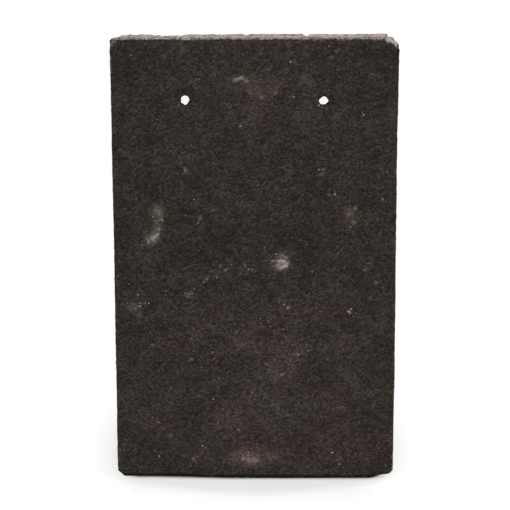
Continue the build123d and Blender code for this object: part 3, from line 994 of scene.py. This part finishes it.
def coat_look(finish, grain, fine, dark):
    """Colour of the sanded coat: brown with clouds of two tints, whose borders a noise breaks up, times a
    level of each grain's own, under a haze and scuffs that catch on the lighter grains."""
    patchy = finish.spread(finish.noise(9 * MM, 3.0), 0.3, 0.7, -0.35, 0.35)
    green = finish.spread(finish.plus(finish.mark("green"), patchy), 0.1, 0.9)
    purple = finish.spread(finish.math("SUBTRACT", finish.mark("purple"), patchy), 0.05, 0.7)
    tint = finish.blend(green, BROWN_COAT, GREEN_COAT)
    tint = finish.blend(purple, tint, PURPLE_COAT)
    tint = finish.blend(finish.mark("cool"), tint, COOL_COAT)
    level = finish.times(finish.spread(grain, 0, 1, 0.36, 1.6), finish.spread(fine, 0, 1, 0.58, 1.42))
    for size, swing in MOTTLES:
        mottle = finish.spread(finish.noise(size, 1.0, 0.5), 0.25, 0.75, 1 - swing, 1 + swing)
        level = finish.times(level, mottle)
    level = finish.times(level, finish.plus(1.0, finish.mark("broad")))
    shade = finish.shaded(COAT_SHADE, finish.math("SUBTRACT", level, 1.0))
    colour = finish.node("ShaderNodeVectorMath", {0: tint, 1: shade}, operation="ADD").outputs["Vector"]
    # The dark mark darkens the colour: painted shade at the tail, beside the nail holes and in the pits, and
    # the darker gap in the largest smear
    colour = finish.shaded(colour, finish.spread(dark, 0, 1, 1.0, 0.32))
    colour = finish.blend(finish.times(finish.spread(grain, 0.93, 0.96), 0.5), colour, COAT_SAND)

    # a scuff thickens with the square of its mark
    pale = finish.mark("pale")
    film = finish.times(pale, finish.plus(finish.times(pale, 0.5), 0.45))
    caught = finish.spread(finish.plus(grain, fine), 0.3, 1.7, 0.5, 1.5)
    colour = finish.blend(finish.times(finish.mark("haze"), 0.36, caught), colour, BROWN_HAZE)
    return finish.blend(finish.times(film, caught), colour, SCUFFED)


def bare_look(finish, grain, fine):
    """Colour of the bare concrete: sand of many shades in cement where it was cut or broken, and a plain
    skin with pores where a mould made it."""
    cement = finish.blend(finish.noise(11 * MM, 3.0), GREY_CONCRETE, PALE_CONCRETE)
    cement = finish.shaded(cement, finish.spread(grain, 0, 1, 0.55, 1.45))
    cement = finish.blend(finish.times(finish.spread(grain, 0.17, 0.12), 0.8), cement, DARK_GRAIN)
    moulded = finish.blend(finish.noise(30 * MM, 3.0), MOULDED_DARK, MOULDED_LIGHT)
    moulded = finish.shaded(moulded, finish.spread(fine, 0, 1, 0.86, 1.14))
    pores = finish.times(finish.spread(finish.noise(1.6 * MM, 1.0, 0.5), 0.3, 0.22), 0.6)
    moulded = finish.blend(pores, moulded, DARK_GRAIN)
    return finish.blend(finish.spread(finish.mark("rough"), 0.2, 0.7), moulded, cement)


def concrete_finish():
    """Dark sanded coat over pale concrete. The coat mark says where it lies, a fine noise and the grains
    make its border ragged, and between the two there is a brown rim where it wore thin."""
    finish = Finish("sanded_concrete")
    grain, grain_distance = finish.grains(SAND_GRAIN)
    fine, _ = finish.grains(FINE_GRAIN)
    dark = finish.mark("dark")
    ragged = finish.times(finish.math("SUBTRACT", finish.noise(3 * MM), 0.5), 0.7)
    speckled = finish.times(finish.math("SUBTRACT", finish.plus(grain, fine), 1.0), -0.22)
    edge = finish.plus(finish.mark("coat"), ragged, speckled)
    body = finish.blend(finish.spread(edge, 0.2, 0.5), bare_look(finish, grain, fine), BROWN_CONCRETE)
    colour = finish.blend(finish.spread(edge, 0.42, 0.7), body, coat_look(finish, grain, fine, dark))
    inputs = finish.shader.inputs
    finish.put(inputs["Base Color"], colour)

    # Relief: round sand grains, and between them the finest grit
    normal = finish.relief(finish.math("SUBTRACT", 1.0, grain_distance), 0.5 * MM)
    finish.put(inputs["Normal"], finish.relief(finish.noise(0.6 * MM), 0.2 * MM, normal))
    finish.put(inputs["Roughness"], finish.spread(grain, 0, 1, 0.78, 0.98))
    finish.put(inputs["Specular IOR Level"], finish.spread(dark, 0, 1, DRY_SPECULAR, DARK_SPECULAR))
    return finish.material


def grain_finish():
    """Pale sand: one colour by how light the grain is, with a fine noise over it."""
    finish = Finish("pale_sand")
    speckle = finish.spread(finish.noise(0.4 * MM), 0.25, 0.75, 0.8, 1.2)
    inputs = finish.shader.inputs
    level = finish.times(finish.mark("light"), 1.4, speckle)
    finish.put(inputs["Base Color"], finish.shaded(PALE_SAND, level))
    finish.put(inputs["Normal"], finish.relief(finish.noise(0.3 * MM), 0.1 * MM))
    finish.put(inputs["Roughness"], 0.9)
    finish.put(inputs["Specular IOR Level"], DRY_SPECULAR)
    return finish.material


# The two pieces

tile = tile_skin()
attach(tile, "root")
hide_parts("roof_tile")
tile.data.materials.append(concrete_finish())

grains = pale_grains()
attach(grains, "root")
grains.data.materials.append(grain_finish())

# Camera, at the photograph's distance and angle to the tile's face
back = math.cos(VIEW_ANGLE) * UP + math.sin(VIEW_ANGLE) * ALONG
upright = math.cos(VIEW_ANGLE) * ALONG - math.sin(VIEW_ANGLE) * UP
image_right = math.cos(VIEW_ROLL) * ACROSS - math.sin(VIEW_ROLL) * upright
image_up = math.cos(VIEW_ROLL) * upright + math.sin(VIEW_ROLL) * ACROSS
off_centre = (np.array(TILE_CENTRE_PIXEL) - IMAGE_SIDE / 2) * CAMERA_DISTANCE / FOCAL_PIXELS
camera_place = ORIGIN + THICKNESS * UP + CAMERA_DISTANCE * back
camera_place = camera_place - off_centre[0] * image_right + off_centre[1] * image_up

camera_data = bpy.data.cameras.new("camera")
camera_data.sensor_width = 36
camera_data.lens = camera_data.sensor_width * FOCAL_PIXELS / IMAGE_SIDE
camera = in_scene("camera", camera_data)
turned = np.stack([image_right, image_up, back, camera_place], axis=-1)
camera.matrix_world = Matrix([*turned.tolist(), [0, 0, 0, 1]])
bpy.context.scene.camera = camera

# Floor: white to the camera, and it keeps the tile's shadow
FLOOR_REACH = 3.0
FLOOR_TAIL_ZONE = (-0.126, -0.088)  # where the floor's two strengths change along the tile, from the tail
FLOOR_GLOW = 0.95
FLOOR_GLOW_AT_TAIL = 0.547
FLOOR_SHADE = 0.13
FLOOR_SHADE_AT_TAIL = 0.56

# Painted light: the glow that both ends of the tail's shadow gain beyond a slanting line on each side, which
# lightens them: the place along the tile where the lines cross, how far across they are for each metre along,
# and where the gain sets in
FLOOR_GLOW_BESIDE = 0.12
BESIDE_CROSSING = -0.147
BESIDE_SLANT = 6.4
BESIDE_ACROSS = (0.012, 0.045)
BESIDE_NEAR = (-0.153, -0.144)
BESIDE_FAR = (-0.125, -0.135)

# Painted contact shadow, a soft dark line where the floor shows past the tail's edge: the edge's arris,
# carried on along the line of sight to the floor, then how wide the line is and where it fades along and
# across. It follows the tail's worn left end.
arris = from_tile(np.array([0.0, -TILE_LENGTH / 2 + 0.2 * MM, THICKNESS - 1.1 * MM]))
sight = arris - camera_place
CONTACT_WIDTH = 2.6 * MM
CONTACT_EDGE = float((arris - sight * arris[2] / sight[2])[1]) + 1.2 * MM
CONTACT_STRENGTH = 0.93
CONTACT_FAR = (-0.13, -0.125)
CONTACT_ENDS = ((-0.079, -0.070), (0.081, 0.066))
CONTACT_WORN_ZONE = (-0.060, -0.015)
CONTACT_WORN_BACK = 1.1 * MM


def floor_finish():
    """White floor. The camera sees a glow of nearly white with a little of the lit surface over it, so
    that the shadow stays, and the light sees a plain pale surface."""
    finish = Finish("white_floor")
    across, along = finish.node("ShaderNodeSeparateXYZ", {0: finish.places}).outputs[:2]
    glow = finish.spread(along, *FLOOR_TAIL_ZONE, FLOOR_GLOW_AT_TAIL, FLOOR_GLOW)
    shade = finish.spread(along, *FLOOR_TAIL_ZONE, FLOOR_SHADE_AT_TAIL, FLOOR_SHADE)
    # Painted light: extra glow at both ends of the tail's shadow
    slanted = finish.times(finish.math("SUBTRACT", along, BESIDE_CROSSING), -BESIDE_SLANT)
    beside = finish.spread(finish.plus(slanted, finish.math("ABSOLUTE", across)), *BESIDE_ACROSS)
    beside = finish.times(beside, finish.spread(along, *BESIDE_NEAR), finish.spread(along, *BESIDE_FAR))
    glow = finish.plus(finish.times(beside, FLOOR_GLOW_BESIDE), glow)
    # Painted contact shadow: past the tail's edge both the glow and the lit share are dimmed
    worn_back = finish.spread(across, *CONTACT_WORN_ZONE, CONTACT_WORN_BACK, 0.0)
    contact = finish.math("SUBTRACT", along, worn_back)
    contact = finish.spread(contact, CONTACT_EDGE - CONTACT_WIDTH, CONTACT_EDGE)
    contact = finish.times(contact, finish.spread(along, *CONTACT_FAR, 1.0, 0.0))
    contact = finish.times(contact, *(finish.spread(across, *ends) for ends in CONTACT_ENDS))
    eased = finish.spread(contact, 0, 1, 1.0, 1 - CONTACT_STRENGTH, "SMOOTHSTEP")
    speckle = finish.spread(finish.noise(20 * MM, 2.0, 0.5), 0, 1, 0.98, 1.02)
    lit_colour = finish.shaded((1, 0.995, 0.985), finish.times(shade, eased, speckle))
    lit = finish.node("ShaderNodeBsdfDiffuse", {"Color": lit_colour})
    strength = finish.times(glow, eased)
    glowing = finish.node("ShaderNodeEmission", {"Color": (1, 0.998, 0.992, 1), "Strength": strength})
    both = finish.node("ShaderNodeAddShader", {0: lit.outputs[0], 1: glowing.outputs[0]})
    plain = finish.node("ShaderNodeBsdfDiffuse", {"Color": (0.8, 0.8, 0.79, 1)})
    path = finish.node("ShaderNodeLightPath").outputs
    seen = finish.math("MAXIMUM", path["Is Camera Ray"], path["Is Glossy Ray"])
    seen = finish.math("MAXIMUM", seen, path["Is Transmission Ray"])
    shown = finish.node("ShaderNodeMixShader", {0: seen, 1: plain.outputs[0], 2: both.outputs[0]})
    finish.tree.nodes.remove(finish.shader)
    finish.put(finish.tree.nodes["Material Output"].inputs["Surface"], shown.outputs[0])
    return finish.material


floor_corners = [(x * FLOOR_REACH, y * FLOOR_REACH, 0) for x, y in ((-1, -1), (1, -1), (1, 1), (-1, 1))]
floor_mesh = bpy.data.meshes.new("floor")
floor_mesh.from_pydata(floor_corners, [], [(0, 1, 2, 3)])
floor = in_scene("floor", floor_mesh)
floor_mesh.materials.append(floor_finish())

# Light: a large soft lamp beyond the head, and a white surround that fills
LAMP_PLACE = Vector((0.3, 1.25, 1.17))
LAMP_SIZE = (2.2, 0.4)
LAMP_POWER = 21.5
SURROUND_STRENGTH = 0.55
WHITE = (1, 1, 1, 1)

lamp_data = bpy.data.lights.new("soft_lamp", "AREA")
lamp_data.shape = "RECTANGLE"
lamp_data.size, lamp_data.size_y = LAMP_SIZE
lamp_data.energy = LAMP_POWER
lamp = in_scene("soft_lamp", lamp_data)
lamp.location = LAMP_PLACE
lamp.rotation_euler = (-LAMP_PLACE).to_track_quat("-Z", "Y").to_euler()

world = bpy.data.worlds.new("white_surround")
bpy.context.scene.world = world
world.use_nodes = True
nodes, links = world.node_tree.nodes, world.node_tree.links
surround = nodes["Background"]
surround.inputs["Color"].default_value = WHITE
surround.inputs["Strength"].default_value = SURROUND_STRENGTH
seen = nodes.new("ShaderNodeBackground")
seen.inputs["Color"].default_value = WHITE
ray = nodes.new("ShaderNodeLightPath")
choice = nodes.new("ShaderNodeMixShader")
sources = (ray.outputs["Is Camera Ray"], surround.outputs[0], seen.outputs[0])
for number, source in enumerate(sources):
    links.new(source, choice.inputs[number])
links.new(choice.outputs[0], nodes["World Output"].inputs["Surface"])
bpy.context.scene.view_settings.view_transform = "Standard"
